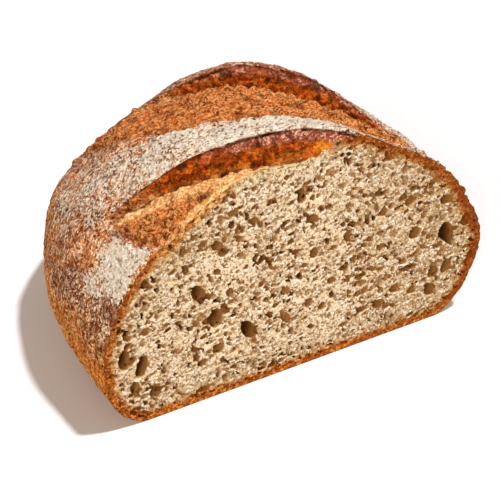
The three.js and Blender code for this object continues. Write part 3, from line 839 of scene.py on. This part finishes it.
# Under the crust, towards the top and at the back the foam closes.
closed = spread(under_crust, 0.3, 2.0, 1.2, 0.0)
closed = plus(closed, spread(noise(0.05, 1.0, 0.5), 0.35, 0.7, -0.15, 0.25))
closed = plus(closed, spread(deep, 6.3, 7.6, 0.0, 3.0))
closed = plus(closed, spread(up, 80.0, 98.0, 0.0, 0.3))
open_foam = maths("SMOOTH_MIN", fine_pores, middle_pores, 0.15)
open_foam = plus(maths("SMOOTH_MIN", open_foam, wide_pores, 0.25), closed)
open_foam = maths("SMOOTH_MIN", open_foam, named_pores, 0.4)

# The knife left the face rough, and the crust's skin stays free of the crumb.
rough = noise(0.9, 2.0, 0.5)
worn = times(spread(rough, 0.3, 0.75, 0.1, 0.7), spread(under_crust, 0.2, 1.0))
foam_body = maths("SMOOTH_MIN", open_foam, minus(deep, worn), 0.2)
inset = spread(up, 0.4, 2.0, 0.02, 0.12)
foam_body = maths("MINIMUM", foam_body, minus(under_crust, inset))
foam_body = maths("MINIMUM", foam_body, minus(given["Depth"], deep))

# The block of cells in which the foam is cut, a little larger than the slab.
cell_size = CRUMB_VOXEL * MM
block_low = np.array([solid_box[0][0] - MM, solid_box[0][1] - MM, -MM])
block_high = np.array([
    solid_box[1][0] + MM, solid_box[0][1] + (CRUMB_DEPTH + 1) * MM, (ARCH_HEIGHT + 9) * MM,
])
cells_along = np.ceil((block_high - block_low) / cell_size).astype(int)
block = node("GeometryNodeVolumeCube", {
    "Density": foam_body, "Background": -1.0,
    "Min": tuple(block_low), "Max": tuple(block_low + cells_along * cell_size),
    **{f"Resolution {axis}": int(count) for axis, count in zip("XYZ", cells_along)},
})
cut_foam = node("GeometryNodeVolumeToMesh", {
    "Volume": block.outputs[0], "Threshold": 0.0,
}, resolution_mode="GRID")
island = node("GeometryNodeInputMeshIsland").outputs["Island Index"]
members = node("GeometryNodeAccumulateField", {
    "Value": 1.0, "Group ID": island,
}, data_type="FLOAT", domain="POINT")
whole_foam = node("GeometryNodeDeleteGeometry", {
    "Geometry": cut_foam.outputs[0], "Selection": maths("LESS_THAN", members.outputs["Total"], LEAST_SCRAP),
}, domain="POINT")
marked = node("GeometryNodeStoreNamedAttribute", {
    "Geometry": whole_foam.outputs[0], "Name": "under_crust", "Value": under_crust,
}, data_type="FLOAT", domain="POINT")
realized = node("GeometryNodeRealizeInstances", {"Geometry": marked.outputs[0]})
finished = node("GeometryNodeSetMaterial", {"Geometry": realized.outputs[0], "Material": given["Material"]})
node("NodeGroupOutput", {0: finished.outputs[0]})

# Colours of the crumb and of the crust where the knife cut it, with painted shade and highlights.
CRUMB_PALE = (0.95, 0.72, 0.455)
CRUMB_GREY = (0.77, 0.555, 0.32)
CRUMB_WARM = (0.54, 0.335, 0.14)
PORE_SHADE = (0.37, 0.160, 0.030)
PORE_BOTTOM_SHADE = (0.13, 0.045, 0.007)
CRUMB_HIGHLIGHT = (0.94, 0.84, 0.67)
CRUMB_SHADE = (0.24, 0.11, 0.030)
CRUMB_TAN = (0.68, 0.36, 0.085)
CRUMB_OUTER = (0.50, 0.34, 0.16)
CREAM = (1.0, 0.78, 0.40)
CRUST_CUT = (0.41, 0.102, 0.010)
CUT_OUTER = (0.27, 0.052, 0.004)
CUT_DARK = (0.13, 0.024, 0.003)
CUT_LIGHT = (0.78, 0.31, 0.045)
FLANK_CUT = (0.24, 0.045, 0.003)
EDGE_BRIGHT = (0.92, 0.55, 0.18)

crumb_material = bpy.data.materials.new("bread crumb")
crumb_material.use_nodes = True
tree = crumb_material.node_tree
place = node("ShaderNodeTexCoord").outputs["Object"]
across, backwards, up = parts_of(place)
from_crust = mark("under_crust")
fine_grain, wide_grain = speckled(1300.0, 0.28, 0.34), speckled(700.0, 0.14, 0.14)
crumb = blend(spread(noise(90), 0.4, 0.62), CRUMB_GREY, CRUMB_PALE)
crumb = blend(spread(across, 0.010, 0.065, 0.0, 0.8), crumb, CRUMB_WARM)

# Over the first slash the dough is young: cream there, with no brown line.
young = times(times(spread(across, -0.036, -0.024), spread(across, 0.020, 0.008)), spread(up, 0.07, 0.08))
young_edge = times(young, spread(from_crust, 4.0, 1.2))
crumb = blend(young_edge, crumb, CREAM)

# Near the crust and the base it is darker and browner.
outer = times(spread(from_crust, 22.0, 5.0, 0.0, 0.4), spread(young, 0.0, 1.0, 1.0, 0.2))
crumb = blend(outer, crumb, CRUMB_OUTER)
edge = plus(from_crust, times(minus(noise(300), 0.5), 6.0))
crumb = blend(times(spread(edge, 8.5, 3.0), spread(young, 0.0, 1.0, 0.65, 0.1)), crumb, CRUMB_TAN)
low_edge = times(spread(up, 0.016, 0.004), spread(across, -0.082, -0.06))
crumb = blend(times(low_edge, 0.45), crumb, CRUMB_OUTER)

# Grains, painted as small highlights and specks of shade, and painted shade in the pores, darker with depth.
clear_of_crust = most(young, spread(from_crust, 1.0, 8.0, 0.45, 1.0))
# Painted highlights as light grains on the walls, fewer near the crust, and painted shade as dark grains.
crumb = blend(times(fine_grain["Light"], times(clear_of_crust, 0.85)), crumb, CRUMB_HIGHLIGHT)
crumb = blend(times(fine_grain["Dark"], 0.85), crumb, CRUMB_SHADE)
crumb = blend(times(wide_grain["Light"], times(clear_of_crust, 0.55)), crumb, CRUMB_HIGHLIGHT)
cut_level = solid_box[0][1]
# Painted shade: the pores darken with depth behind the cut, to near black at their bottoms.
sunk = spread(backwards, cut_level + 0.0004, cut_level + 0.0018, 0.0, 0.95)
crumb = blend(times(sunk, spread(young_edge, 0.0, 1.0, 1.0, 0.2)), crumb, PORE_SHADE)
crumb = blend(spread(backwards, cut_level + 0.002, cut_level + 0.006), crumb, PORE_BOTTOM_SHADE)

# The cut through the crust: a brown line, which is bright under the torn floor
# of the first slash and darkest on the right flank.
cut_crust = blend(spread(noise(420), 0.44, 0.32), CRUST_CUT, CUT_DARK)
cut_crust = blend(spread(edge, 2.4, 0.6, 0.0, 0.75), cut_crust, CUT_OUTER)
cut_crust = blend(times(fine_grain["Dark"], 0.7), cut_crust, CUT_DARK)
cut_crust = blend(times(fine_grain["Light"], 0.7), cut_crust, CUT_LIGHT)
browned = times(spread(edge, 4.9, 2.2), minus(1.0, young))
crumb = blend(browned, crumb, cut_crust)
torn_edge = times(spread(across, -0.064, -0.052), spread(across, -0.020, -0.032))
torn_edge = times(times(torn_edge, spread(up, 0.050, 0.060)), spread(noise(380), 0.40, 0.56))
crumb = blend(times(torn_edge, browned), crumb, blend(fine_grain["Dark"], EDGE_BRIGHT, CRUST_CUT))
right_flank = times(spread(across, 0.058, 0.072), spread(edge, 5.2, 2.6))
crumb = blend(times(right_flank, 0.8), crumb, blend(fine_grain["Light"], FLANK_CUT, CRUST_CUT))
feed(tree.nodes["Principled BSDF"], {
    "Base Color": crumb, "Roughness": 0.8, "Specular IOR Level": 0.10,
    "Normal": bumps(noise(1000, 3.0, 0.7), 0.8, 0.0007),
})

foaming = crumb_guide.modifiers.new("crumb", "NODES")
foaming.node_group = foam
for name, value in CRUMB_SIZES.items():
    foaming[size_sockets[name].identifier] = value
foaming[material_socket.identifier] = crumb_material
evaluated = crumb_guide.evaluated_get(bpy.context.evaluated_depsgraph_get())
foam_mesh = bpy.data.meshes.new_from_object(evaluated)
bpy.data.objects.remove(crumb_guide)


def read(items, key, kind, width=1):
    """One property of all items of a mesh, as an array."""
    values = np.empty(len(items) * width, kind)
    items.foreach_get(key, values)
    return values.reshape(-1, width) if width > 1 else values


# The slab is kept as tiles across the cut.
foam_points = read(foam_mesh.vertices, "co", np.float32, 3)
foam_normals = read(foam_mesh.vertex_normals, "vector", np.float32, 3)
foam_marks = {"under_crust": read(foam_mesh.attributes["under_crust"].data, "value", np.float32)}
foam_corners = read(foam_mesh.loops, "vertex_index", np.int32)
foam_starts = read(foam_mesh.polygons, "loop_start", np.int32)
foam_lengths = np.diff(np.append(foam_starts, len(foam_corners)))
face_x = np.add.reduceat(foam_points[foam_corners, 0], foam_starts) / foam_lengths
tile_edges = np.quantile(face_x, np.linspace(0, 1, TILES + 1))
tile_edges[0], tile_edges[-1] = -1, 1
for tile in range(TILES):
    chosen = (face_x >= tile_edges[tile]) & (face_x < tile_edges[tile + 1])
    corners = foam_corners[np.repeat(chosen, foam_lengths)]
    name = f"crumb_{tile + 1}"
    piece = add_piece(
        name, corners, foam_lengths[chosen], foam_points, foam_marks, foam_normals, crumb_material)
    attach(piece, "root")
    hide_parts("loaf")


# ----------------------------------
# Floor, light and camera: a plain pale floor under the loaf, a high sun on the
# right that throws a short shadow to the left, and a weak soft window that fills
# the pores and the left flank.
# ----------------------------------

FLOOR_REACH = 3.0
floor_mesh = bpy.data.meshes.new("floor")
floor_mesh.from_pydata([
    (-FLOOR_REACH, -FLOOR_REACH, 0), (FLOOR_REACH, -FLOOR_REACH, 0),
    (FLOOR_REACH, FLOOR_REACH, 0), (-FLOOR_REACH, FLOOR_REACH, 0),
], [], [(0, 1, 2, 3)])
floor = add_object("floor", floor_mesh)
floor_material = bpy.data.materials.new("pale floor")
floor_material.use_nodes = True
floor_shader = floor_material.node_tree.nodes["Principled BSDF"]
floor_shader.inputs["Base Color"].default_value = (0.76, 0.752, 0.745, 1)
floor_shader.inputs["Roughness"].default_value = 0.9
floor_mesh.materials.append(floor_material)

SUN_ELEVATION, SUN_TURN = math.radians(72.5), math.radians(28)
TOWARDS_SUN = Vector((
    math.cos(SUN_ELEVATION) * math.cos(SUN_TURN),
    -math.cos(SUN_ELEVATION) * math.sin(SUN_TURN),
    math.sin(SUN_ELEVATION),
))
TOWARDS_WINDOW = Vector((-0.62, -0.60, 0.50))


def add_light(name, energy, colour, softness, towards):
    data = bpy.data.lights.new(name, "SUN")
    data.energy, data.color, data.angle = energy, colour, math.radians(softness)
    light = add_object(name, data)
    light.rotation_euler = towards.to_track_quat("Z", "Y").to_euler()


add_light("sun", energy=3.15, colour=(1.0, 1.0, 1.05), softness=4, towards=TOWARDS_SUN)
add_light("window", energy=1.3, colour=(1.0, 0.92, 0.82), softness=18, towards=TOWARDS_WINDOW)

world = bpy.data.worlds.new("studio")
bpy.context.scene.world = world
world.use_nodes = True
sky = world.node_tree.nodes["Background"]
sky.inputs["Color"].default_value = (1.0, 0.9, 0.78, 1)
sky.inputs["Strength"].default_value = 0.37

AZIMUTH, ELEVATION = math.radians(29.2), math.radians(37)
DISTANCE = 0.7538
TARGET = Vector(to_frame(np.array([-4.25, 31.6, 36.7])))
camera_data = bpy.data.cameras.new("camera")
camera_data.lens = 140
camera_data.sensor_width = 36
camera = add_object("camera", camera_data)
gaze = Vector((
    math.sin(AZIMUTH) * math.cos(ELEVATION), math.cos(AZIMUTH) * math.cos(ELEVATION), -math.sin(ELEVATION),
))
camera.location = TARGET - gaze * DISTANCE
camera.rotation_euler = gaze.to_track_quat("-Z", "Y").to_euler()
bpy.context.scene.camera = camera
bpy.context.scene.view_settings.view_transform = "Standard"
